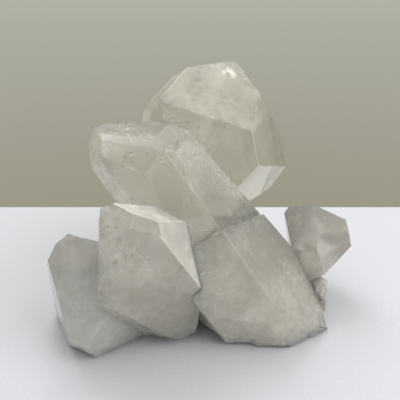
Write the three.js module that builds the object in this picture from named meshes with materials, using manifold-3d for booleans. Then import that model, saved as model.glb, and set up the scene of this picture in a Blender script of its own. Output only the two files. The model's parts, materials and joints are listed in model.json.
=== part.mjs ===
// A cluster of intergrown quartz crystals standing on its broken feet.
// Millimetres, +Z up, -Y the front. The origin is on the ground, under the middle of the cluster.
import * as THREE from "three";
import { ConvexGeometry } from "three/addons/geometries/ConvexGeometry.js";
import { mergeVertices } from "three/addons/utils/BufferGeometryUtils.js";
import Module from "manifold-3d";

const wasm = await Module();
wasm.setup();

// ---- driving dimensions ----

const SEAM = 0.3; // gap left where two crystals grew against each other
const GROUND = [-90, -90]; // turn and rise of a face that looks straight down
const ROOM = 300; // side of the space above the ground that the pieces are kept to
const PARALLEL = 1e-3; // three faces whose directions enclose less than this have no corner
const TOUCH = 1e-6; // how far outside a face a corner may lie and still count as on it
const WELD = 1e-4; // corners closer than this are one corner

// Each crystal is bounded by flat faces. A face is [turn, rise, reach]: it looks towards
// `turn` degrees round from +X and `rise` degrees above level, and lies `reach` millimetres
// from the heart of its crystal.
const LEANING = {
  heart: [-11.5, -8, 51],
  sides: [
    [-90, 16, 14.5],
    [-25, 38, 13],
    [48, 28, 16],
    [90, -16, 15],
    [156, -38, 11.5],
    [-136, -20, 16.5],
  ],
  tip: [
    [-44, 78, 15.5],
    [118, 17, 15.5],
    [-154, 13, 23.5],
  ],
  root: [[-45, -46, 24]],
};

const FOOT = {
  heart: [-11.5, -8, 51],
  sides: [
    [-90, 16, 15.3],
    [-25, 38, 13.8],
    [48, 28, 16.8],
    [90, -16, 20],
    [-136, -20, 20],
  ],
  tip: [[135, 46, -24.3]],
  root: [
    [-95, -20, 35],
    [-60, 2, 38],
    [5, 5, 50],
    [-145, -30, 21],
    [...GROUND, 51],
  ],
};

const FRONT_LEFT = {
  heart: [-15, -32, 32.5],
  sides: [
    [-63, -13, 8],
    [16, 0, 15],
    [77, 0, 32],
    [125, 5, 24],
    [178, 4, 12],
    [-116, 4, 19.5],
  ],
  tip: [
    [-43, 21, 16],
    [-16, 17, 11.7],
    [26, 60, 16.8],
    [61, 39, 30],
    [125, 48, 16],
    [-94, 41, 26],
  ],
  root: [
    [-110, -40, 15.5],
    [-60, -80, 29],
  ],
};

const CROWN = {
  heart: [5.5, 24, 60],
  sides: [
    [-91, 21, 18],
    [-26, 20, 19.5],
    [42, -9, 22.5],
    [90, -21, 21],
    [150, -12, 22],
    [-150, 9, 25],
  ],
  tip: [
    [-73, 55, 15.5],
    [9, 32, 21.5],
    [115, 17, 14],
    [-155, 60, 24],
    [165, 38, 24.5],
  ],
  root: [
    [-42, -30, 26],
    [-30, -55, 31],
    [-84, -68, 38],
  ],
};

const LEFT = {
  heart: [-40, -14, 10],
  sides: [
    [-105, 9, 23.5],
    [-43, 11, 28],
    [75, -9, 14],
    [137, -11, 15],
    [-153, -5, 11],
  ],
  tip: [
    [-104, 45, 31.5],
    [68, 29, 4.5],
    [135, 27, 6],
    [-178, 29, 17.5],
  ],
  root: [
    [-53, -21, 23],
    [-120, -34, 17.5],
    [...GROUND, 10],
  ],
};

const RIGHT = {
  heart: [45, 5, 22],
  sides: [
    [-124, 8, 14],
    [-62, 26, 11],
    [-1, 12, 10.5],
    [60, -10, 12],
    [117, -20, 13],
    [178, -11, 11],
  ],
  tip: [
    [-140, 39, 12],
    [-61, 55, 11.5],
    [68, 28, 6],
    [167, 25, 16],
  ],
  root: [
    [-20, -50, 6.5],
    [-70, -60, 15],
  ],
};

// Rough pieces: half sizes of the lump, its heart, and how far its surface wanders.
const KNOB = { heart: [42, -9, 7.5], half: [5, 6, 8], wander: 0.16, detail: 5 };
const BASE = { heart: [4, 3, 10], half: [34, 29, 24], wander: 0.12, detail: 7 };

const CLEAR = { color: 0xd9d6cb, roughness: 0.12, metalness: 0 };
const CLOUDY = { color: 0xcdc8bd, roughness: 0.2, metalness: 0 };
const STAINED = { color: 0x6f6458, roughness: 0.75, metalness: 0 };

// ---- shapes ----

// The outward direction of a face.
function facing([turn, rise]) {
  const round = THREE.MathUtils.degToRad(turn);
  const up = THREE.MathUtils.degToRad(rise);
  return new THREE.Vector3(
    Math.cos(round) * Math.cos(up),
    Math.sin(round) * Math.cos(up),
    Math.sin(up),
  );
}

// The corner where three planes meet, or null where two of them are near enough parallel.
function corner(a, b, c) {
  const bc = b.normal.clone().cross(c.normal);
  const ca = c.normal.clone().cross(a.normal);
  const ab = a.normal.clone().cross(b.normal);
  const volume = a.normal.dot(bc);
  if (Math.abs(volume) < PARALLEL) {
    return null;
  }
  return bc
    .multiplyScalar(a.reach)
    .addScaledVector(ca, b.reach)
    .addScaledVector(ab, c.reach)
    .divideScalar(volume);
}

// The convex body inside all of a crystal's faces, every face moved out by `grow`.
function crystalBody({ heart, sides, tip, root }, grow = 0) {
  const planes = [...sides, ...tip, ...root].map((face) => ({
    normal: facing(face),
    reach: face[2] + grow,
  }));
  const corners = [];
  for (let i = 0; i < planes.length; i += 1) {
    for (let j = i + 1; j < planes.length; j += 1) {
      for (let k = j + 1; k < planes.length; k += 1) {
        const point = corner(planes[i], planes[j], planes[k]);
        const inside =
          point && planes.every((plane) => plane.normal.dot(point) < plane.reach + TOUCH);
        if (inside) {
          corners.push(point);
        }
      }
    }
  }
  return new ConvexGeometry(corners).translate(...heart);
}

// A rough lump: a ball stretched to its half sizes whose radius wanders in slow waves.
function roughBody({ heart, half, wander, detail }, grow = 0) {
  const lump = new THREE.IcosahedronGeometry(1, detail);
  const place = lump.getAttribute("position");
  const point = new THREE.Vector3();
  for (let i = 0; i < place.count; i += 1) {
    point.fromBufferAttribute(place, i);
    const waves =
      Math.sin(3.1 * point.x + 1.3) * Math.cos(2.7 * point.y) +
      0.6 * Math.sin(5.3 * point.y + 4.1 * point.z) +
      0.35 * Math.sin(8.7 * point.x - 6.1 * point.z + 0.4);
    const radius = 1 + wander * waves;
    place.setXYZ(
      i,
      point.x * (half[0] * radius + grow),
      point.y * (half[1] * radius + grow),
      point.z * (half[2] * radius + grow),
    );
  }
  return lump.translate(...heart);
}

function toSolid(geometry) {
  const bare = geometry.clone();
  bare.deleteAttribute("normal");
  bare.deleteAttribute("uv");
  const welded = mergeVertices(bare, WELD);
  const mesh = new wasm.Mesh({
    numProp: 3,
    vertProperties: new Float32Array(welded.getAttribute("position").array),
    triVerts: new Uint32Array(welded.index.array),
  });
  return new wasm.Manifold(mesh);
}

// A cut can leave a sliver on the far side of a neighbour: only the main body is kept.
function mainBody(solid) {
  const bodies = solid.decompose();
  return bodies.reduce((best, body) => (body.volume() > best.volume() ? body : best));
}

function toGeometry(solid) {
  const { vertProperties, triVerts } = solid.getMesh();
  const geometry = new THREE.BufferGeometry();
  geometry.setAttribute("position", new THREE.BufferAttribute(vertProperties, 3));
  geometry.setIndex(new THREE.BufferAttribute(triVerts, 1));
  geometry.computeVertexNormals();
  return geometry;
}

// ---- the cluster ----

// In order of precedence: each piece gives way to all the pieces before it.
const PIECES = [
  { name: "leaning_crystal", shape: LEANING, build: crystalBody, look: CLEAR },
  { name: "front_left_crystal", shape: FRONT_LEFT, build: crystalBody, look: CLOUDY },
  { name: "front_right_crystal", shape: FOOT, build: crystalBody, look: CLOUDY },
  { name: "crown_crystal", shape: CROWN, build: crystalBody, look: CLEAR },
  { name: "left_crystal", shape: LEFT, build: crystalBody, look: CLOUDY },
  { name: "right_crystal", shape: RIGHT, build: crystalBody, look: CLEAR },
  { name: "side_knob", shape: KNOB, build: roughBody, look: STAINED },
  { name: "root_mass", shape: BASE, build: roughBody, look: STAINED },
];

const cluster = new THREE.Group();
cluster.name = "quartz_cluster";

const above = new THREE.BoxGeometry(ROOM, ROOM, ROOM).translate(0, 0, ROOM / 2);
const aboveGround = toSolid(above);
const taken = [];
for (const { name, shape, build, look } of PIECES) {
  let solid = toSolid(build(shape)).intersect(aboveGround);
  for (const earlier of taken) {
    solid = solid.subtract(earlier);
  }
  taken.push(toSolid(build(shape, SEAM)));
  const mesh = new THREE.Mesh(toGeometry(mainBody(solid)), new THREE.MeshStandardMaterial(look));
  mesh.name = name;
  cluster.add(mesh);
}

// The origin goes under the middle of the whole cluster.
const middle = new THREE.Box3().setFromObject(cluster).getCenter(new THREE.Vector3());
for (const mesh of cluster.children) {
  mesh.geometry.translate(-middle.x, -middle.y, 0);
}

export default cluster;
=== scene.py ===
"""A cluster of intergrown quartz crystals, dressed over its frame.

Every crystal is rebuilt from the flat faces of its frame node as finely gridded facets with worn
edges, growth relief and broken feet. Metres, +Z up, -Y the front.
"""

import json
import logging
import math
from dataclasses import dataclass, field
from enum import Enum
from typing import Optional, Sequence, Union

import bmesh
import bpy
import numpy as np
from mathutils import Matrix, Vector

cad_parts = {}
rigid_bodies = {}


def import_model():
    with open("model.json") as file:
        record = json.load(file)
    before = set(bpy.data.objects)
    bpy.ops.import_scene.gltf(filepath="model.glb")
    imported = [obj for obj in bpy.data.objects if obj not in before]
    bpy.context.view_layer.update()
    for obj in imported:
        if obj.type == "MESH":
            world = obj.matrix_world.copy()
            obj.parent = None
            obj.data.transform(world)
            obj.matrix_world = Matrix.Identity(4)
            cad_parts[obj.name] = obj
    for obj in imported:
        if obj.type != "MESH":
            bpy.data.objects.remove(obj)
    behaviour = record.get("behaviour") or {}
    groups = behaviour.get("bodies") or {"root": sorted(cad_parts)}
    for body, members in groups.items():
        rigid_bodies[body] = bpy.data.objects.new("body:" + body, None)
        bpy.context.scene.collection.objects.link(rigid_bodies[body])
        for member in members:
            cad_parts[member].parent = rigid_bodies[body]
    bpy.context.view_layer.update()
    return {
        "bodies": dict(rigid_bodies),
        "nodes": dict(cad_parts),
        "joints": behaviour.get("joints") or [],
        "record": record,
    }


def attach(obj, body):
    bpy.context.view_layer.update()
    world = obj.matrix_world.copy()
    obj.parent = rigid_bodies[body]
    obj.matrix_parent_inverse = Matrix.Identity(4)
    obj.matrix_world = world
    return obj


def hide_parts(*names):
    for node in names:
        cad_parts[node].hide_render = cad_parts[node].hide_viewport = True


log = logging.getLogger("quartz_cluster")

MM = 0.001
BODY = "root"
WELD = 0.004 * MM
SEED = 11
SHARP = 16.0
SINES = 6
WAVE_PEAK = 4.5
FULL_TURN = 2 * math.pi
LIGHT_PATHS = {
    "use_denoising": True,
    "max_bounces": 24,
    "transmission_bounces": 24,
    "transparent_max_bounces": 32,
    "glossy_bounces": 12,
    "volume_bounces": 12,
    "caustics_refractive": False,
    "sample_clamp_indirect": 6.0,
}

Colour = tuple[float, float, float, float]


class Slot(Enum):
    """The material slots."""

    CLEAR = "clear_quartz"
    CLOUDY = "cloudy_quartz"
    STAINED = "stained_quartz"


def facing(turn: float, rise: float) -> tuple[float, float, float]:
    """The direction at a turn from +X and a rise above level, both in degrees."""
    round_z, up = math.radians(turn), math.radians(rise)
    return math.cos(up) * math.cos(round_z), math.cos(up) * math.sin(round_z), math.sin(up)


# ---------------------------------------------------------------- shader expressions


@dataclass(frozen=True)
class Val:
    """One output socket that can be used in ordinary arithmetic."""

    shader: "Shader"
    socket: bpy.types.NodeSocket

    def _math(self, operation: str, *others: "Number", clamp: bool = False) -> "Val":
        """A Math node with this value first and the others after it."""
        return self.shader.math(operation, self, *others, clamp=clamp)

    def __add__(self, other: "Number") -> "Val":
        """This value plus another."""
        return self._math("ADD", other)

    __radd__ = __add__

    def __sub__(self, other: "Number") -> "Val":
        """This value less another."""
        return self._math("SUBTRACT", other)

    def __rsub__(self, other: "Number") -> "Val":
        """Another value less this one."""
        return self.shader.math("SUBTRACT", other, self)

    def __mul__(self, other: "Number") -> "Val":
        """This value times another."""
        return self._math("MULTIPLY", other)

    __rmul__ = __mul__

    def clamped(self) -> "Val":
        """This value held between 0 and 1."""
        return self._math("ADD", 0.0, clamp=True)

    def step(self, low: float, high: float) -> "Val":
        """0 below `low`, 1 above `high` and a smooth rise between them."""
        return self.shader.node(
            "ShaderNodeMapRange",
            {"interpolation_type": "SMOOTHSTEP"},
            {"Value": self, "From Min": low, "From Max": high},
            "Result",
        )


Number = Union[float, Val]
Owner = Union[bpy.types.Material, bpy.types.World]


@dataclass(frozen=True)
class Cloud:
    """A soft noise.

    Args:
        per_metre: how many waves it has to the metre.
        detail: how many finer octaves it has.
        low: the value up to which a patch of it is 0.
        high: the value from which a patch of it is 1.
    """

    per_metre: float
    detail: float
    low: float = 0.0
    high: float = 1.0


class Shader:
    """Builds the nodes of one material, or of the world, out of Python expressions."""

    def __init__(self, owner: Owner) -> None:
        """Empties the owner's nodes.

        Args:
            owner: the new material or world.
        """
        owner.use_nodes = True
        self.owner = owner
        self.tree = owner.node_tree
        self.tree.nodes.clear()

    def node(
        self,
        kind: str,
        settings: Optional[dict[str, object]] = None,
        inputs: Optional[dict[Union[str, int], object]] = None,
        output: Union[str, int] = 0,
    ) -> Val:
        """Adds any node.

        Args:
            kind: the node's type.
            settings: its properties, set before its sockets; `stops` fills a colour ramp.
            inputs: values or links by socket name or number.
            output: the output that is wanted.

        Returns:
            The wanted output.
        """
        made = self.tree.nodes.new(kind)
        for key, value in (settings or {}).items():
            if key == "stops":
                self._fill_ramp(made.color_ramp, value)
            else:
                setattr(made, key, value)
        for key, value in (inputs or {}).items():
            self._feed(made.inputs[key], value)
        return Val(self, made.outputs[output])

    def _fill_ramp(self, ramp: bpy.types.ColorRamp, stops: Sequence[tuple[float, Colour]]) -> None:
        """Gives a ramp its stops, each a place and a colour."""
        while len(ramp.elements) > 1:
            ramp.elements.remove(ramp.elements[-1])
        for index, (place, colour) in enumerate(stops):
            stop = ramp.elements[0] if index == 0 else ramp.elements.new(place)
            stop.position = place
            stop.color = colour

    def _feed(self, socket: bpy.types.NodeSocket, value: object) -> None:
        """Links a value into a socket, or sets the socket to a plain number or colour."""
        if isinstance(value, Val):
            self.tree.links.new(value.socket, socket)
        else:
            socket.default_value = value

    def math(self, operation: str, *values: Number, clamp: bool = False) -> Val:
        """A Math node on one to three values."""
        return self.node(
            "ShaderNodeMath",
            {"operation": operation, "use_clamp": clamp},
            dict(enumerate(values)),
        )

    def place(self) -> Val:
        """Where a point lies on the piece, in metres."""
        return self.node("ShaderNodeTexCoord", output="Object")

    def noise(self, cloud: Cloud) -> Val:
        """A cloud's value from 0 to 1."""
        inputs = {"Vector": self.place(), "Scale": cloud.per_metre, "Detail": cloud.detail}
        return self.node("ShaderNodeTexNoise", None, inputs, "Fac")

    def patch(self, cloud: Cloud) -> Val:
        """Patches of a cloud, from 0 at its low value to 1 at its high one."""
        return self.noise(cloud).step(cloud.low, cloud.high)

    def attribute(self, name: str) -> Val:
        """A value that the mesh itself carries."""
        return self.node("ShaderNodeAttribute", {"attribute_name": name}, None, "Fac")

    def measure(self, operation: str, other: Sequence[float]) -> Val:
        """A vector operation on the place and a fixed vector that gives one number."""
        return self.node(
            "ShaderNodeVectorMath", {"operation": operation}, {0: self.place(), 1: tuple(other)}, "Value"
        )

    def cells(self, per_metre: float) -> Val:
        """The distance to scattered cell centres, with so many cells to the metre."""
        return self.node(
            "ShaderNodeTexVoronoi", None, {"Vector": self.place(), "Scale": per_metre}, "Distance"
        )

    def mixed(self, share: Number, under: object, over: object) -> Val:
        """Lays one colour over another by a share."""
        share_in, under_in, over_in, colour_out = 0, 6, 7, 2
        return self.node(
            "ShaderNodeMix",
            {"data_type": "RGBA", "blend_type": "MIX"},
            {share_in: share, under_in: under, over_in: over},
            colour_out,
        )

    def bump(self, height: Val, depth: float, over: Optional[Val] = None) -> Val:
        """A normal that shows a height as relief.

        Args:
            height: the relief from 0 to 1.
            depth: how deep 1 is, in metres.
            over: a normal to add the relief to.

        Returns:
            The new normal.
        """
        inputs: dict[Union[str, int], object] = {"Height": height, "Distance": depth, "Strength": 1.0}
        if over is not None:
            inputs["Normal"] = over
        return self.node("ShaderNodeBump", None, inputs, "Normal")

    def finish(self, surface: Val, volume: Optional[Val] = None) -> Owner:
        """Connects the surface, and a volume if there is one.

        Args:
            surface: the finished surface shader.
            volume: what fills the inside.

        Returns:
            The material or world.
        """
        world = isinstance(self.owner, bpy.types.World)
        out = self.tree.nodes.new("ShaderNodeOutputWorld" if world else "ShaderNodeOutputMaterial")
        self._feed(out.inputs["Surface"], surface)
        if volume is not None:
            self._feed(out.inputs["Volume"], volume)
        return self.owner


# ---------------------------------------------------------------- finishes


@dataclass(frozen=True)
class Marks:
    """Where a crystal is marked, each from 0 to 1.

    Args:
        drift: slow cloudy noise.
        fine: fine cloudy noise.
        patches: clouded patches.
        frost: faces of frosting, matt and whitened; the white is partly painted highlight.
        veils: thin wavy veils.
        low: nearness to the ground.
        brown: staining.
        pitted: dark pits.
        flecks: white flecks.
        shattered: the spot of shard relief, whitened as a painted glint.
    """

    drift: Val
    fine: Val
    patches: Val
    frost: Val
    veils: Val
    low: Val
    brown: Val
    pitted: Val
    flecks: Val
    shattered: Val


@dataclass(frozen=True)
class Quartz:
    """Glassy rock crystal with milky zones, wispy veils, etched faces and a stained foot.

    Args:
        name: the material's name.
        tint: colour of light that passes straight through.
        milk: colour of the milky zones.
        milky: share of milkiness everywhere.
        patchy: how much milkier the clouded patches are.
        rooted: how much milkier the foot is than the top.
        fog: how strongly the body scatters light, per metre.
        absorb: how strongly the body takes light away, per metre.
        rough: roughness of the clean faces.
        axis: turn and rise of the growth axis in degrees; growth lines cross it.
        glint: where a small spot of shards sits, whose white is a painted glint, and its radius, in metres.
        stain: share of brown staining near the ground.
        snow: share of fine white flecks.
        pits: share of fine dark pits.
        etched: how strongly the faces are lined and grained, 1 being a dull natural face.
    """

    name: str
    tint: Colour = (0.995, 0.99, 0.975, 1.0)
    milk: Colour = (0.8, 0.77, 0.69, 1.0)
    milky: float = 0.2
    patchy: float = 0.12
    rooted: float = 0.12
    fog: float = 12.0
    absorb: float = 8.0
    rough: float = 0.05
    axis: tuple[float, float] = (0.0, 90.0)
    glint: tuple[float, float, float, float] = (0.0, 0.0, -1.0, 0.001)
    stain: float = 0.15
    snow: float = 0.5
    pits: float = 0.5
    etched: float = 1.0

    IOR = 1.544
    FROST = "frost"
    JOINED = "joined"

    DRIFT = Cloud(55.0, 5.0)
    FINE = Cloud(420.0, 4.0)
    GRAIN = Cloud(1600.0, 2.0)
    DRIFT_SHARE = 0.7
    CLOUDED = (0.42, 0.62)
    # The frosting's strength, whose white is partly painted highlight, varies with these.
    RIME = Cloud(170.0, 4.0, 0.35, 0.65)
    FROST_LEAST, FROST_CLOUDED, FROST_RIMED, FROST_HIDES = 0.75, 0.2, 0.25, 4.0
    VEIL = Cloud(95.0, 2.0)
    VEIL_MIDDLE, VEIL_HALF = 0.5, 0.016
    VEILED = Cloud(60.0, 3.0, 0.5, 0.62)
    FOOT = (0.004, 0.055)
    RUST = Cloud(90.0, 4.0, 0.44, 0.7)
    PITS_PER_METRE = 600.0
    PIT = (0.08, 0.2)
    PITTED = Cloud(150.0, 3.0, 0.61, 0.71)
    FLECK = Cloud(800.0, 4.0, 0.54, 0.7)
    FLECKED = Cloud(60.0, 3.0, 0.46, 0.62)
    GLINT_CORE = 0.5
    CRUSHED = (0.42, 0.52)
    SHARDS_PER_METRE = 1100.0
    LINES_PER_METRE, LINE_WANDER, LINE_DETAIL = 900.0, 1.2, 4.0

    RUST_TONE = (0.34, 0.275, 0.215, 1.0)
    PIT_TONE = (0.3, 0.27, 0.24, 1.0)
    # White for veils, flecks and frosting; on the frosting and the spot of shards it is also painted
    # highlight and painted glint.
    WHITE = (0.86, 0.87, 0.83, 1.0)
    PIT_DARK, VEIL_PALE = 0.3, 0.15
    ROUGH_CLOUDED, ROUGH_PITTED, ROUGH_RUSTED, ROUGH_FROSTED = 0.12, 0.3, 0.3, 0.1
    MILK_VEILED, MILK_SHATTERED, MILK_FLECKED, MILK_RUSTED, MILK_PITTED = 0.04, 0.5, 0.3, 0.3, 0.25

    LINE_RELIEF = 0.03 * MM
    SWELL_RELIEF = 0.025 * MM
    SWELL_FINE = 0.5
    GRAIN_RELIEF = 0.012 * MM
    PIT_RELIEF = 0.02 * MM
    SHARD_RELIEF = 1.2 * MM
    GLOW_DEPTH = (0.012, 0.011, 0.009)
    FOG_TONE = (0.995, 0.985, 0.93, 1.0)
    FOG_FORWARD = 0.2
    ABSORB_TONE = (0.8, 0.76, 0.6, 1.0)

    def material(self) -> bpy.types.Material:
        """Builds the node material.

        Returns:
            The finished material.
        """
        made = Shader(bpy.data.materials.new(self.name))
        marks = self.marks(made)
        relief = self.relief(made, marks)
        skin = self.skin(made, marks, relief)
        clear = made.node("ShaderNodeBsdfTransparent")
        surface = made.node("ShaderNodeMixShader", None, {0: made.attribute(self.JOINED), 1: skin, 2: clear})
        scatter = made.node(
            "ShaderNodeVolumeScatter",
            None,
            {"Color": self.FOG_TONE, "Density": self.fog, "Anisotropy": self.FOG_FORWARD},
        )
        absorb = made.node(
            "ShaderNodeVolumeAbsorption", None, {"Color": self.ABSORB_TONE, "Density": self.absorb}
        )
        return made.finish(surface, made.node("ShaderNodeAddShader", None, {0: scatter, 1: absorb}))

    def marks(self, made: Shader) -> Marks:
        """Works out where the crystal is clouded, veiled, stained, pitted and flecked, where its frosting
        lies, partly as painted highlight, and where its spot of shards is whitened as a painted glint.

        Args:
            made: the material's nodes.

        Returns:
            The marks, each from 0 to 1.
        """
        drift, fine = made.noise(self.DRIFT), made.noise(self.FINE)
        patches = (drift * self.DRIFT_SHARE + fine * (1.0 - self.DRIFT_SHARE)).step(*self.CLOUDED)
        # The frosting: matt and whitened; on the faces the overhead light makes bright, its white is a
        # painted highlight.
        rime = self.FROST_LEAST + self.FROST_CLOUDED * patches + made.patch(self.RIME) * self.FROST_RIMED
        frost = made.attribute(self.FROST) * rime
        off_veil = made.math("ABSOLUTE", made.noise(self.VEIL) - self.VEIL_MIDDLE)
        veils = (1.0 - off_veil.step(0.0, self.VEIL_HALF)) * made.patch(self.VEILED)
        height = made.node("ShaderNodeSeparateXYZ", None, {0: made.place()}, "Z")
        low = 1.0 - height.step(*self.FOOT)
        brown = (low * made.patch(self.RUST) * self.stain).clamped()
        pits = 1.0 - made.cells(self.PITS_PER_METRE).step(*self.PIT)
        flecks = made.patch(self.FLECK) * made.patch(self.FLECKED)
        # A small spot of shard relief whose white colour is a painted glint.
        away = made.measure("DISTANCE", self.glint[:3])
        spot = 1.0 - away.step(self.glint[3] * self.GLINT_CORE, self.glint[3])
        return Marks(
            drift=drift,
            fine=fine,
            patches=patches,
            frost=frost,
            veils=veils,
            low=low,
            brown=brown,
            pitted=pits * made.patch(self.PITTED) * self.pits,
            flecks=flecks * (1.0 - frost * self.FROST_HIDES).clamped() * self.snow,
            shattered=spot * fine.step(*self.CRUSHED),
        )

    def relief(self, made: Shader, marks: Marks) -> Val:
        """The fine relief: growth lines across the axis, swells, grain, pits and shards.

        Args:
            made: the material's nodes.
            marks: where the crystal is marked.

        Returns:
            The normal.
        """
        along = made.measure("DOT_PRODUCT", facing(*self.axis))
        lines = made.node(
            "ShaderNodeTexNoise",
            {"noise_dimensions": "1D"},
            {
                "W": along * self.LINES_PER_METRE + marks.drift * self.LINE_WANDER,
                "Scale": 1.0,
                "Detail": self.LINE_DETAIL,
            },
            "Fac",
        )
        normal = made.bump(lines, self.LINE_RELIEF * self.etched)
        swell = marks.fine * self.SWELL_FINE + marks.drift
        normal = made.bump(swell, self.SWELL_RELIEF * self.etched, normal)
        normal = made.bump(made.noise(self.GRAIN), self.GRAIN_RELIEF * self.etched, normal)
        normal = made.bump(1.0 - marks.pitted, self.PIT_RELIEF, normal)
        return made.bump(made.cells(self.SHARDS_PER_METRE) * marks.shattered, self.SHARD_RELIEF, normal)

    def skin(self, made: Shader, marks: Marks, relief: Val) -> Val:
        """The surface: glass, with milk shining through it by a varying share, and white painted highlight on
        the frosting and a white painted glint on the spot of shards.

        Args:
            made: the material's nodes.
            marks: where the crystal is marked.
            relief: the normal.

        Returns:
            The surface shader.
        """
        rough = self.rough + marks.patches * self.ROUGH_CLOUDED + marks.pitted * self.ROUGH_PITTED
        rough = (rough + marks.brown * self.ROUGH_RUSTED + marks.frost * self.ROUGH_FROSTED).clamped()
        # Whitening from real veils and flecks, from the frosting, partly painted highlight, and from the spot
        # of shards, a painted glint.
        white = (marks.veils * self.VEIL_PALE + marks.frost + marks.flecks + marks.shattered).clamped()
        tone = made.mixed(marks.brown, self.milk, self.RUST_TONE)
        tone = made.mixed(marks.pitted * self.PIT_DARK, tone, self.PIT_TONE)
        tone = made.mixed(white, tone, self.WHITE)
        shared = {"Roughness": rough, "IOR": self.IOR, "Normal": relief}
        glass = made.node(
            "ShaderNodeBsdfPrincipled",
            None,
            {"Base Color": self.tint, "Transmission Weight": 1.0, **shared},
        )
        milk = made.node(
            "ShaderNodeBsdfPrincipled",
            None,
            {
                "Base Color": tone,
                "Subsurface Weight": 1.0,
                "Subsurface Radius": self.GLOW_DEPTH,
                "Subsurface Scale": 1.0,
                **shared,
            },
        )
        share = self.milky + (marks.patches - 0.5) * self.patchy + marks.low * self.rooted
        # The frosting and the spot of shards also raise the milk share, painting their highlight and glint.
        share = share + marks.veils * self.MILK_VEILED + marks.frost + marks.shattered * self.MILK_SHATTERED
        share = share + marks.flecks * self.MILK_FLECKED + marks.brown * self.MILK_RUSTED
        share = (share + marks.pitted * self.MILK_PITTED).clamped()
        return made.node("ShaderNodeMixShader", None, {0: share, 1: glass, 2: milk})


# ---------------------------------------------------------------- surfaces


def waves(points: np.ndarray, size: float, seed: int, octaves: int = 4) -> np.ndarray:
    """Smooth random waves through space.

    The sum, over each octave, of six sines whose directions and phases are drawn at random and
    whose wavelength halves, as does their height, from one octave to the next.

    Args:
        points: N by 3 places in metres.
        size: the longest wavelength in metres.
        seed: picks the random directions.
        octaves: how many times the wavelength halves.

    Returns:
        N heights of about -1 to 1.
    """
    rng = np.random.default_rng(SEED + seed)
    total = np.zeros(len(points))
    for octave in range(octaves):
        direction = rng.normal(size=(SINES, 3))
        direction /= np.linalg.norm(direction, axis=1, keepdims=True)
        phase = rng.uniform(0, FULL_TURN, SINES)
        turns = FULL_TURN * 2**octave / size
        total += np.sin(points @ direction.T * turns + phase).sum(1) / 2**octave
    return total / WAVE_PEAK


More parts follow.
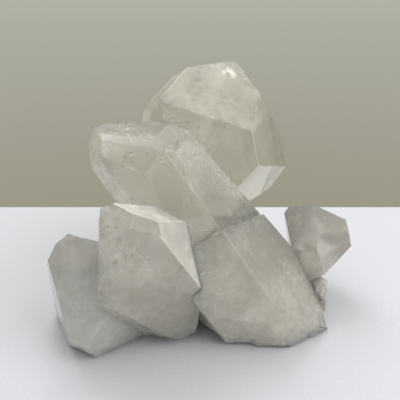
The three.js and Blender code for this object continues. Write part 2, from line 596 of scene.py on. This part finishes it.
@dataclass
class Planes:
    """The convex body bounded by flat faces: all points p with normal . p <= reach for each face.

    Args:
        normal: N by 3 outward directions of length 1.
        reach: N distances from the origin in metres.
    """

    normal: np.ndarray
    reach: np.ndarray

    ON_FACE = 2e-6
    ON_EDGE = 1e-5
    APART = 8e-6
    SAME = 1e-3
    LEVEL = 2e-5
    SMALL = 0.4 * MM
    SHARP_CORNER = 1e-5
    UNEVEN = (0.67, 1.33)
    ASKEW = (0.31, 0.52, 0.79)

    @classmethod
    def from_node(cls, node: bpy.types.Object) -> "Planes":
        """Reads the faces of a frame node that its whole body lies behind.

        Args:
            node: the frame's object.

        Returns:
            Its outer faces, without those where a neighbour cut into it.
        """
        mesh = node.data
        places = np.empty(len(mesh.vertices) * 3)
        mesh.vertices.foreach_get("co", places)
        places = places.reshape(-1, 3)
        corners = np.empty(len(mesh.loop_triangles) * 3, dtype=int)
        mesh.loop_triangles.foreach_get("vertices", corners)
        a, b, c = places[corners.reshape(-1, 3)].transpose(1, 0, 2)
        across = np.cross(b - a, c - a)
        area = np.linalg.norm(across, axis=1)
        solid = area > cls.SMALL**2
        normal = across[solid] / area[solid, None]
        reach = (normal * a[solid]).sum(1)
        kept: list[int] = []
        for index in np.argsort(-area[solid]):
            turned = np.abs(normal[kept] - normal[index]).max(1, initial=0) > cls.SAME
            moved = np.abs(reach[kept] - reach[index]) > cls.LEVEL
            outer = (places @ normal[index]).max() < reach[index] + cls.LEVEL
            if outer and np.all(turned | moved):
                kept.append(index)
        return cls(normal[kept], reach[kept])

    def grown(self, by: float) -> "Planes":
        """The same body with every face moved out."""
        return Planes(self.normal, self.reach + by)

    def depth(self, points: np.ndarray) -> np.ndarray:
        """How far each point lies outside the body, over the worst face; below 0 is inside."""
        return (points @ self.normal.T - self.reach).max(1)

    def with_worn_edges(self, width: float, seed: int) -> "Planes":
        """Adds a narrow face along every edge.

        The new face looks halfway between its two neighbours and lies so far below the edge that
        it is `width` wide, give or take a third at random.

        Args:
            width: the width of the worn strip in metres.
            seed: picks the random widths.

        Returns:
            The body with its strips, the original faces first.
        """
        rng = np.random.default_rng(SEED + seed)
        normals, reaches, rings = [self.normal], [self.reach], self.polygons()
        for i, ring in enumerate(rings):
            for j in range(i):
                near = np.abs(ring @ self.normal[j] - self.reach[j]) < self.ON_EDGE
                if len(rings[j]) == 0 or near.sum() < 2:
                    continue
                shared = ring[near]
                between = self.normal[i] + self.normal[j]
                half = np.linalg.norm(between) / 2
                between = between / np.linalg.norm(between)
                tangent = math.sqrt(max(1 - half**2, 0.0)) / half
                drop = width * rng.uniform(*self.UNEVEN) / 2 * tangent
                normals.append(between[None])
                reaches.append(np.array([shared.mean(0) @ between - drop]))
        return Planes(np.concatenate(normals), np.concatenate(reaches))

    def polygons(self) -> list[np.ndarray]:
        """The corners of every face in order round it, seen from outside.

        A corner is where three faces meet and no other face cuts it off.

        Returns:
            One array of corners for each face, empty where the face has none.
        """
        count = len(self.reach)
        i, j, k = np.array([(a, b, c) for a in range(count) for b in range(a) for c in range(b)]).T
        stack = np.stack([self.normal[i], self.normal[j], self.normal[k]], 1)
        right = np.stack([self.reach[i], self.reach[j], self.reach[k]], 1)
        sharp = np.abs(np.linalg.det(stack)) > self.SHARP_CORNER
        points = np.linalg.solve(stack[sharp], right[sharp][..., None])[..., 0]
        points = points[self.depth(points) < self.ON_FACE]
        found = []
        for normal, reach in zip(self.normal, self.reach):
            ring = points[np.abs(points @ normal - reach) < self.ON_FACE]
            if len(ring) < 3:
                found.append(np.empty((0, 3)))
                continue
            middle = ring.mean(0)
            along = np.cross(normal, self.ASKEW)
            along /= np.linalg.norm(along)
            angle = np.arctan2((ring - middle) @ np.cross(normal, along), (ring - middle) @ along)
            ring = ring[np.argsort(angle)]
            apart = np.linalg.norm(ring - np.roll(ring, 1, 0), axis=1) > self.APART
            found.append(ring[apart] if apart.sum() > 2 else np.empty((0, 3)))
        return found


def facet_grid(ring: np.ndarray, step: float) -> tuple[np.ndarray, np.ndarray, np.ndarray]:
    """A flat face as rings of points.

    The outermost ring runs round the face's edge in even steps. Every other ring is that one
    shrunk towards the middle, in as many rings as steps fit between middle and edge.

    Args:
        ring: the face's corners in order.
        step: the wanted spacing in metres.

    Returns:
        The points, the four-cornered and middle faces padded to four corner numbers, and each
        point's share of the way out.
    """
    sides = np.roll(ring, -1, 0) - ring
    lengths = np.linalg.norm(sides, axis=1)
    pieces = np.maximum(np.ceil(lengths / step).astype(int), 1)
    edge = np.concatenate(
        [start + side * (np.arange(n) / n)[:, None] for start, side, n in zip(ring, sides, pieces)]
    )
    middle = ring.mean(0)
    far = np.linalg.norm(edge - middle, axis=1).mean()
    rings = max(int(far / step), 1)
    share = np.arange(1, rings + 1) / rings
    points = middle + (edge - middle)[None] * share[:, None, None]
    around = len(edge)
    index = 1 + np.arange(rings * around).reshape(rings, around)
    following = np.roll(index, -1, 1)
    quads = np.stack([index[:-1], index[1:], following[1:], following[:-1]], -1).reshape(-1, 4)
    fans = np.stack([np.zeros(around, int), index[0], following[0], following[0]], -1)
    out = np.concatenate([[0.0], np.repeat(share, around)])
    return np.concatenate([middle[None], points.reshape(-1, 3)]), np.concatenate([fans, quads]), out


def new_mesh(name: str, points: np.ndarray, faces: np.ndarray) -> bpy.types.Object:
    """Makes an object of faces welded where points are closer than `WELD`.

    Args:
        name: the object's name.
        points: N by 3 places.
        faces: M by 4 corner numbers, the last repeated in a triangle.

    Returns:
        The object, linked into the scene.
    """
    mesh = bpy.data.meshes.new(name)
    triangle = faces[:, 2] == faces[:, 3]
    lists = faces[triangle, :3].tolist() + faces[~triangle].tolist()
    mesh.from_pydata(points.tolist(), [], lists)
    shape = bmesh.new()
    shape.from_mesh(mesh)
    bmesh.ops.remove_doubles(shape, verts=shape.verts, dist=WELD)
    bmesh.ops.dissolve_degenerate(shape, edges=shape.edges, dist=WELD)
    bmesh.ops.recalc_face_normals(shape, faces=shape.faces)
    shape.to_mesh(mesh)
    shape.free()
    made = bpy.data.objects.new(name, mesh)
    bpy.context.scene.collection.objects.link(made)
    return made


def mesh_points(mesh: bpy.types.Mesh) -> np.ndarray:
    """All of a mesh's points as N by 3 numbers."""
    places = np.empty(len(mesh.vertices) * 3)
    mesh.vertices.foreach_get("co", places)
    return places.reshape(-1, 3)


def mesh_normals(mesh: bpy.types.Mesh) -> np.ndarray:
    """The outward direction at each of a mesh's points, as N by 3 numbers."""
    normals = np.empty(len(mesh.vertices) * 3)
    mesh.vertices.foreach_get("normal", normals)
    return normals.reshape(-1, 3)


def move_points(mesh: bpy.types.Mesh, points: np.ndarray) -> None:
    """Puts a mesh's points in new places."""
    mesh.vertices.foreach_set("co", points.ravel())
    mesh.update()


def finished(made: bpy.types.Object, node: str, finish: Quartz) -> None:
    """Shades and dresses a piece, ties it to its body and hides the frame node that it replaces.

    Args:
        made: the piece.
        node: the frame node that it replaces.
        finish: its quartz.
    """
    smooth_shaded(made.data)
    made.data.materials.clear()
    made.data.materials.append(finish.material())
    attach(made, BODY)
    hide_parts(node)


def smooth_shaded(mesh: bpy.types.Mesh) -> None:
    """Shades a mesh smoothly, apart from edges sharper than `SHARP` degrees."""
    mesh.polygons.foreach_set("use_smooth", np.ones(len(mesh.polygons), bool))
    mesh.set_sharp_from_angle(angle=math.radians(SHARP))
    mesh.update()


# ---------------------------------------------------------------- pieces


@dataclass
class Crystal:
    """One crystal: its frame node's outer faces, gridded, worn, and cut where neighbours grew.

    Args:
        node: the frame node's name.
        slot: the record's material slot; not used.
        finish: its quartz.
        earlier: crystals that it gives way to.
        later: crystals that give way to it.
        step: spacing of the grid in metres.
        worn: width of the worn edges in metres.
        broken: turn, rise and height above the heart of each plane below which it is broken rough.
        rough: how far broken parts are eaten away, in metres.
        chips: how deep the chips along its edges are, in metres.
        lift: how far the rim of its foot stands off the ground, in metres.
        hills: how high growth hills stand on its faces, in metres.
        frosted: the turn and rise in degrees of each face of frosting, and how strong it is; its white is
            partly painted highlight.
        seed: picks its random relief.
        planes: its outer faces, read from the frame.
    """

    node: str
    slot: Slot
    finish: Quartz
    earlier: list["Crystal"] = field(default_factory=list)
    later: list["Crystal"] = field(default_factory=list)
    step: float = 0.55 * MM
    worn: float = 0.28 * MM
    broken: Sequence[tuple[float, float, float]] = ((0.0, -90.0, -9.0),)
    rough: float = 1.1 * MM
    chips: float = 0.35 * MM
    lift: float = 2.0 * MM
    hills: float = 0.05 * MM
    frosted: Sequence[tuple[float, float, float]] = ()
    seed: int = 0

    planes: Optional[Planes] = None

    JOIN = 0.85
    SEAM = 0.15 * MM
    ON_WALL = 0.02 * MM
    ON_FACE = 0.2 * MM
    HILL_WAVE, HILL_OCTAVES, HILL_SEED = 22 * MM, 3, 3
    STAIRS, STAIR_SHARE, HILL_FADE = 3, 0.6, 6
    RIDGE_WAVE, RIDGE_OCTAVES, RIDGE_SEED = 14 * MM, 4, 7
    BREAK_DEPTH = 5 * MM
    CHIP_WIDTH = 0.55 * MM
    CHIP_WAVE, CHIP_SEED, CHIP_GAIN, CHIP_RARE = 11 * MM, 8, 3, 1.2
    NICK_WAVE, NICK_SEED, FINE_OCTAVES = 2.5 * MM, 9, 3
    RIM, RIM_WAVE, RIM_SEED, RIM_UNEVEN = 13 * MM, 12 * MM, 5, 0.25
    DOWN = -0.99
    PARALLEL = 1e-6

    def read(self, frame: dict) -> None:
        """Takes the crystal's outer faces from the frame."""
        source = frame["nodes"][self.node]
        source.data.calc_loop_triangles()
        self.planes = Planes.from_node(source)

    def relief(self, points: np.ndarray, out: np.ndarray) -> np.ndarray:
        """How far a point of a clean face stands proud.

        Low growth hills and terraces, faded to nothing at the face's edge so that edges stay
        straight: `hills` times soft waves, partly made a smooth staircase, times the fade. The
        staircase of x is x less sin(2 pi x) over 2 pi.

        Args:
            points: N by 3 places on the face.
            out: each point's share of the way from the face's middle to its edge.

        Returns:
            N heights in metres.
        """
        soft = waves(points, self.HILL_WAVE, self.seed + self.HILL_SEED, self.HILL_OCTAVES)
        stairs = soft * self.STAIRS
        terraces = (stairs - np.sin(FULL_TURN * stairs) / FULL_TURN) / self.STAIRS
        fade = np.clip((1 - out) * self.HILL_FADE, 0, 1)
        return self.hills * ((1 - self.STAIR_SHARE) * soft + self.STAIR_SHARE * terraces) * fade

    def build(self) -> bpy.types.Object:
        """Makes the gridded crystal, roughens its broken end and cuts it back from neighbours.

        Returns:
            The finished object.
        """
        shape = self.planes.with_worn_edges(self.worn, self.seed)
        clean = len(self.planes.reach)
        all_points, all_faces, start = [], [], 0
        for index, ring in enumerate(shape.polygons()):
            if len(ring) == 0:
                continue
            points, faces, out = facet_grid(ring, self.step)
            normal = shape.normal[index]
            if index < clean:
                points = points + normal * self.relief(points, out)[:, None]
            all_points.append(points)
            all_faces.append(faces + start)
            start += len(points)
        points = np.concatenate(all_points)
        faces = np.concatenate(all_faces)
        made = new_mesh(self.node + "_body", points, faces)
        self.wear(made.data)
        self.cut(made)
        self.mark_joined(made)
        finished(made, self.node, self.finish)
        return made

    def wear(self, mesh: bpy.types.Mesh) -> None:
        """Eats into the surface, only inwards, where the crystal is broken or chipped.

        Near a break the depth is `rough` times the square of ridged waves, growing over the
        break's depth past its plane. Along edges it is `chips` times a bell over the distance to
        the edge, kept only where slow waves are high. The rim of the foot is lifted off the
        ground by up to `lift`, fading over the rim's width towards the middle of the foot.

        Args:
            mesh: the welded mesh.
        """
        points = mesh_points(mesh)
        depth = np.zeros(len(points))
        ridged = 1 - np.abs(
            waves(points, self.RIDGE_WAVE, self.seed + self.RIDGE_SEED, self.RIDGE_OCTAVES)
        )
        for turn, rise, reach in self.broken:
            past = (points @ np.array(facing(turn, rise)) - reach * MM) / self.BREAK_DEPTH
            depth = np.maximum(depth, np.clip(past, 0, 1) * self.rough * ridged**2)
        bell = np.exp(-((self.from_edge(points) / self.CHIP_WIDTH) ** 2))
        slow = waves(points, self.CHIP_WAVE, self.seed + self.CHIP_SEED, self.FINE_OCTAVES)
        fast = waves(points, self.NICK_WAVE, self.seed + self.NICK_SEED, self.FINE_OCTAVES)
        chipped = np.clip(slow * self.CHIP_GAIN - self.CHIP_RARE, 0, 1) * (0.5 + 0.5 * fast)
        depth = depth + self.chips * bell * chipped
        points = points - mesh_normals(mesh) * depth[:, None]
        grounded = self.planes.normal[:, 2] < self.DOWN
        inside = (self.planes.reach - points @ self.planes.normal.T)[:, ~grounded].min(1)
        lift = self.lift * np.clip(1 - inside / self.RIM, 0, 1)
        uneven = waves(points, self.RIM_WAVE, self.seed + self.RIM_SEED, self.FINE_OCTAVES)
        lift *= 1 - self.RIM_UNEVEN + self.RIM_UNEVEN * uneven
        points[:, 2] = np.maximum(points[:, 2], np.maximum(lift, 0))
        move_points(mesh, points)

    def from_edge(self, points: np.ndarray) -> np.ndarray:
        """How far each point is, along its own face, from the nearest edge.

        Its own face is the nearest one. The way along it to another face is the gap to that face
        over the sine of the angle between the two.

        Args:
            points: N by 3 places on the surface.

        Returns:
            N distances in metres.
        """
        gap = self.planes.reach - points @ self.planes.normal.T
        own = gap.argmin(1)
        cosine = self.planes.normal[own] @ self.planes.normal.T
        away = gap / np.sqrt(np.maximum(1 - cosine**2, self.PARALLEL))
        away[np.arange(len(points)), own] = np.inf
        return away.min(1)

    def cutter(self) -> bpy.types.Object:
        """A plain copy of this crystal, grown by the seam, to cut later crystals with."""
        points, faces, start = [], [], 0
        grown = self.planes.grown(self.SEAM)
        for ring in grown.polygons():
            if len(ring) == 0:
                continue
            count = len(ring)
            around = np.arange(count)
            following = np.roll(around, -1)
            points.append(np.concatenate([ring.mean(0)[None], ring]))
            faces.append(
                start + np.stack([np.zeros(count, int), around + 1, following + 1, following + 1], -1)
            )
            start += count + 1
        return new_mesh(self.node + "_cutter", np.concatenate(points), np.concatenate(faces))

    def cut(self, made: bpy.types.Object) -> None:
        """Takes every earlier crystal's space out of this one."""
        for other in self.earlier:
            tool = other.cutter()
            cut = made.modifiers.new(other.node, "BOOLEAN")
            cut.operation = "DIFFERENCE"
            cut.solver = "MANIFOLD"
            cut.object = tool
            seen = made.evaluated_get(bpy.context.evaluated_depsgraph_get())
            fresh = bpy.data.meshes.new_from_object(seen)
            made.modifiers.remove(cut)
            old = made.data
            made.data = fresh
            bpy.data.meshes.remove(old)
            bpy.data.objects.remove(tool)

    def mark_joined(self, made: bpy.types.Object) -> None:
        """Marks the walls between neighbours, where light passes on, and the faces of frosting, whose white
        is partly painted highlight.
        """
        mesh = made.data
        middles = np.empty(len(mesh.polygons) * 3)
        mesh.polygons.foreach_get("center", middles)
        middles = middles.reshape(-1, 3)
        joined = np.zeros(len(middles), np.float32)
        for other in self.earlier:
            wall = np.abs(other.planes.grown(self.SEAM).depth(middles)) < self.ON_WALL
            joined[wall] = self.JOIN
        for other in self.later:
            joined[other.planes.depth(middles) < 0] = self.JOIN
        mesh.attributes.new(Quartz.JOINED, "FLOAT", "FACE").data.foreach_set("value", joined)
        # How strongly each face is frosting-white; partly a painted highlight.
        frost = np.zeros(len(middles), np.float32)
        for turn, rise, amount in self.frosted:
            face = int(np.argmax(self.planes.normal @ np.array(facing(turn, rise))))
            near = middles @ self.planes.normal[face] > self.planes.reach[face] - self.ON_FACE
            frost[near] = amount
        mesh.attributes.new(Quartz.FROST, "FLOAT", "FACE").data.foreach_set("value", frost)


@dataclass
class RoughLump:
    """A rough lump with no crystal faces: its frame node, refined and broken up.

    Args:
        node: the frame node's name.
        slot: the record's material slot; not used.
        finish: its quartz.
        wander: how far its surface is broken up, in metres.
        step: spacing of its grid in metres.
        seed: picks its random relief.
    """

    node: str
    slot: Slot
    finish: Quartz
    wander: float = 0.6 * MM
    step: float = 0.5 * MM
    seed: int = 0

    BLOCK, BLOCK_OCTAVES = 16 * MM, 5
    GRIT, GRIT_OCTAVES, GRIT_SHARE = 3 * MM, 3, 0.25
    LEAST = 0.1
    GROUNDED = 2 * MM

    def build(self, frame: dict) -> bpy.types.Object:
        """Refines the frame node and breaks up its surface.

        The surface moves inwards by `wander` times a least share, the square of ridged blocks and
        some grit, less and less towards the ground.

        Args:
            frame: the loaded frame.

        Returns:
            The finished object.
        """
        source = frame["nodes"][self.node]
        made = bpy.data.objects.new(self.node + "_body", source.data.copy())
        bpy.context.scene.collection.objects.link(made)
        even = made.modifiers.new("even", "REMESH")
        even.mode = "VOXEL"
        even.voxel_size = self.step
        seen = made.evaluated_get(bpy.context.evaluated_depsgraph_get())
        mesh = bpy.data.meshes.new_from_object(seen)
        made.modifiers.remove(even)
        made.data = mesh
        points = mesh_points(mesh)
        blocks = 1 - np.abs(waves(points, self.BLOCK, self.seed, self.BLOCK_OCTAVES))
        grit = np.abs(waves(points, self.GRIT, self.seed + 1, self.GRIT_OCTAVES))
        depth = self.wander * (self.LEAST + blocks**2 + self.GRIT_SHARE * grit)
        lifted = np.clip(points[:, 2] / self.GROUNDED, 0, 1)
        points = points - mesh_normals(mesh) * (depth * lifted)[:, None]
        points[:, 2] = np.maximum(points[:, 2], 0)
        move_points(mesh, points)
        finished(made, self.node, self.finish)
        return made


@dataclass
class Studio:
    """The floor, the light and the camera.

    Args:
        sky: height from -1 to 1 and colour of the light from all round.
        floor: colour of the floor.
        floor_rough: roughness of the floor.
        weave: the floor's fine grain.
        weave_paler: how much paler the grain is than the floor.
        reach: how far the floor runs to the sides and front.
        back: how far behind the middle the floor ends.
        eye: where the camera stands.
        pitch: how far it looks down, in degrees.
        lens_share: its focal length as a share of its sensor's width.
    """

    sky: Sequence[tuple[float, Colour]] = (
        (-0.42, (0.33, 0.305, 0.23, 1.0)),
        (-0.25, (0.36, 0.35, 0.29, 1.0)),
        (-0.05, (0.42, 0.42, 0.36, 1.0)),
        (0.35, (0.68, 0.68, 0.62, 1.0)),
        (1.0, (1.0, 1.0, 0.96, 1.0)),
    )
    floor: Colour = (0.555, 0.565, 0.605, 1.0)
    floor_rough: float = 0.9
    weave: Cloud = Cloud(900.0, 2.0, 0.3, 0.7)
    weave_paler: float = 1.04
    reach: float = 1.4
    back: float = 0.088
    eye: tuple[float, float, float] = (-0.0014, -0.1562, 0.108)
    pitch: float = 23.0
    lens_share: float = 483.0 / 400.0

    SENSOR = 36.0
    NEAREST = 0.01

    def build(self) -> None:
        """Sets up everything that isn't the object."""
        self.build_floor()
        self.build_world()
        self.build_lights()
        self.build_camera()

    def build_floor(self) -> None:
        """A large floor whose straight far edge reads as the back of the table."""
        mesh = bpy.data.meshes.new("floor")
        left, front = -self.reach, -self.reach
        corners = [(left, front, 0), (self.reach, front, 0), (self.reach, self.back, 0), (left, self.back, 0)]
        mesh.from_pydata(corners, [], [(0, 1, 2, 3)])
        floor = bpy.data.objects.new("floor", mesh)
        bpy.context.scene.collection.objects.link(floor)
        made = Shader(bpy.data.materials.new("floor"))
        weave = made.patch(self.weave)
        paler = tuple(min(part * self.weave_paler, 1.0) for part in self.floor)
        cloth = made.mixed(weave, self.floor, paler)
        matt = made.node(
            "ShaderNodeBsdfPrincipled", None, {"Base Color": cloth, "Roughness": self.floor_rough}
        )
        mesh.materials.append(made.finish(matt))

    def build_world(self) -> None:
        """A soft room: darker towards the ground and paler overhead."""
        made = Shader(bpy.data.worlds.new("soft_room"))
        place = made.node("ShaderNodeTexCoord", output="Generated")
        height = made.node("ShaderNodeSeparateXYZ", None, {0: place}, "Z")
        level = made.node("ShaderNodeMapRange", None, {"Value": height, "From Min": -1.0}, "Result")
        stops = [((sky + 1.0) / 2.0, colour) for sky, colour in self.sky]
        shade = made.node("ShaderNodeValToRGB", {"stops": stops}, {0: level})
        bpy.context.scene.world = made.finish(made.node("ShaderNodeBackground", None, {"Color": shade}))

    def area_light(
        self, name: str, place: Sequence[float], aim: Sequence[float], size: float, power: float
    ) -> None:
        """Adds one soft square light.

        Args:
            name: the light's name.
            place: where it stands.
            aim: what it looks at.
            size: its side in metres.
            power: its power in watts.
        """
        data = bpy.data.lights.new(name, "AREA")
        data.size = size
        data.energy = power
        lamp = bpy.data.objects.new(name, data)
        lamp.matrix_world = Matrix.Translation(Vector(place)) @ (
            (Vector(aim) - Vector(place)).to_track_quat("-Z", "Y").to_matrix().to_4x4()
        )
        bpy.context.scene.collection.objects.link(lamp)

    def build_lights(self) -> None:
        """A broad soft light overhead and behind on the left, and one from the front right."""
        self.area_light("overhead", place=(-0.2, 0.34, 0.6), aim=(0.0, 0.0, 0.03), size=0.4, power=2.0)
        self.area_light("right", place=(0.42, -0.3, 0.4), aim=(0.0, 0.0, 0.04), size=0.45, power=2.3)

    def build_camera(self) -> None:
        """Stands the camera in front, above and tilted down."""
        data = bpy.data.cameras.new("camera")
        data.sensor_width = self.SENSOR
        data.lens = self.SENSOR * self.lens_share
        data.clip_start = self.NEAREST
        camera = bpy.data.objects.new("camera", data)
        camera.matrix_world = Matrix.Translation(Vector(self.eye)) @ Matrix.Rotation(
            math.radians(90.0 - self.pitch), 4, "X"
        )
        bpy.context.scene.collection.objects.link(camera)
        bpy.context.scene.camera = camera


@dataclass
class Cluster:
    """The whole cluster, in the order in which pieces give way to each other."""

    frame: dict

    def crystals(self) -> list[Crystal]:
        """Names each crystal, its quartz and the crystals it gives way to.

        Returns:
            The crystals in building order.
        """
        pure = Quartz(
            "leaning_quartz",
            milky=0.1,
            fog=34.0,
            snow=0.05,
            pits=0.1,
            absorb=14.0,
            etched=0.1,
            axis=(135.0, 46.0),
        )
        crown = Quartz(
            "crown_quartz",
            milky=0.05,
            fog=17.0,
            absorb=16.0,
            snow=0.1,
            pits=0.2,
            axis=(119.0, 66.0),
            # The white spot of shards at the crown's tip is a painted glint.
            glint=(0.0096, 0.0304, 0.0809, 0.0035),
        )
        foot_left = Quartz(
            "front_left_quartz", milky=0.14, pits=0.0, fog=44.0, stain=0.2, axis=(-63.0, 77.0)
        )
        foot_right = Quartz("front_right_quartz", milky=0.2, fog=45.0, stain=0.2, axis=(135.0, 46.0))
        side = Quartz(
            "left_quartz",
            milky=0.22,
            fog=36.0,
            snow=0.25,
            pits=0.15,
            milk=(0.74, 0.72, 0.7, 1.0),
            axis=(116.0, 78.0),
        )
        small = Quartz(
            "right_quartz",
            milky=0.2,
            fog=26.0,
            snow=0.2,
            stain=0.05,
            tint=(0.98, 0.965, 0.94, 1.0),
            milk=(0.74, 0.69, 0.64, 1.0),
            axis=(130.0, 64.0),
        )
        leaning = Crystal(
            "leaning_crystal",
            Slot.CLEAR,
            pure,
            chips=0.0,
            hills=0.0,
            frosted=[(-154, 13, 0.12), (-136, -20, 0.08)],
            seed=1,
        )
        front_left = Crystal(
            "front_left_crystal",
            Slot.CLOUDY,
            foot_left,
            [leaning],
            rough=0.7 * MM,
            chips=0.12 * MM,
            hills=0.0,
            # The two upper faces here are whitened as painted highlight where the overhead light makes them
            # bright.
            frosted=[(-16, 17, 0.36), (26, 60, 0.5), (-43, 21, 0.08)],
            seed=2,
        )
        front_right = Crystal(
            "front_right_crystal",
            Slot.CLOUDY,
            foot_right,
            [leaning, front_left],
            broken=[(0.0, -90.0, -8.0)],
            seed=3,
        )
        upper = Crystal(
            "crown_crystal",
            Slot.CLEAR,
            crown,
            [leaning, front_left, front_right],
            # This upper face is whitened as painted highlight where the overhead light makes it bright.
            frosted=[(-73, 55, 0.15)],
            hills=0.0,
            seed=4,
        )
        left = Crystal(
            "left_crystal", Slot.CLOUDY, side, [front_left, front_right], rough=0.45 * MM, seed=5
        )
        right = Crystal("right_crystal", Slot.CLEAR, small, [front_right, upper], seed=6)
        return [leaning, front_left, front_right, upper, left, right]

    def lumps(self) -> list[RoughLump]:
        """The rough pieces."""
        rock = Quartz(
            "root_quartz",
            milky=0.6,
            rooted=0.1,
            rough=0.35,
            stain=0.7,
            fog=36.0,
            milk=(0.72, 0.68, 0.6, 1.0),
        )
        knob = Quartz(
            "knob_quartz", milky=0.6, rooted=0.0, rough=0.3, stain=0.5, milk=(0.5, 0.46, 0.41, 1.0)
        )
        return [
            RoughLump("side_knob", Slot.STAINED, knob, wander=0.7 * MM, step=0.35 * MM, seed=21),
            RoughLump("root_mass", Slot.STAINED, rock, wander=1.6 * MM, seed=22),
        ]

    def build(self) -> None:
        """Builds and reports every piece."""
        crystals = self.crystals()
        for crystal in crystals:
            crystal.read(self.frame)
            for other in crystal.earlier:
                other.later.append(crystal)
        for crystal in crystals:
            made = crystal.build()
            log.info("%s: %d faces", made.name, len(made.data.polygons))
        for lump in self.lumps():
            made = lump.build(self.frame)
            log.info("%s: %d faces", made.name, len(made.data.polygons))


def main() -> None:
    """Loads the frame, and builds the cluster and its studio."""
    logging.basicConfig(level=logging.INFO, format="%(name)s %(message)s")
    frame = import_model()
    Cluster(frame).build()
    Studio().build()
    scene = bpy.context.scene
    scene.view_settings.view_transform = "Standard"
    for name, value in LIGHT_PATHS.items():
        setattr(scene.cycles, name, value)


if __name__ == "__main__":
    main()
